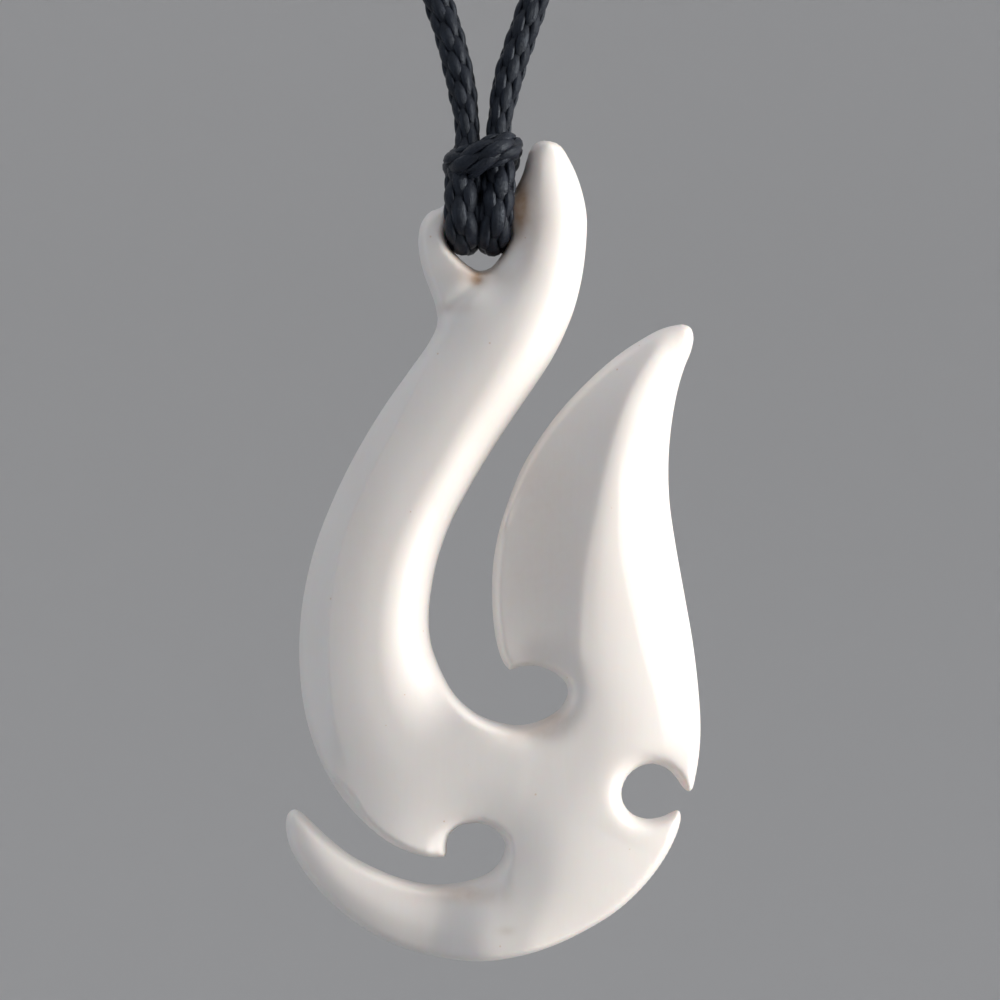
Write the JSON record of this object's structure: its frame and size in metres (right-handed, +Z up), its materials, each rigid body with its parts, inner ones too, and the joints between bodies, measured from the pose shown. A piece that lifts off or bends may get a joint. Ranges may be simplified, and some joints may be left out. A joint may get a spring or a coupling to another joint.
{
  "type": "bone fish hook pendant",
  "caption": "Carved and polished bone pendant in a fish hook form, held by a cow hitch on a loop of black braided cord that is knotted at the nape.",
  "frame": {"origin": "the nape mount: the point on the closure knot's inner face that lies against the back of the neck", "axes": "+Z up as the necklace hangs when worn, the pendant's carved front facing -Y, +X to the right as seen from the front"},
  "size_m": [0.124, 0.1133, 0.2652],
  "materials": {
    "bone": "polished",
    "cord": "waxed braid"
  },
  "bodies": {
    "root": {"hook": "bone", "neck_cord": "cord", "nape_knot": "cord"}
  },
  "joints": []
}
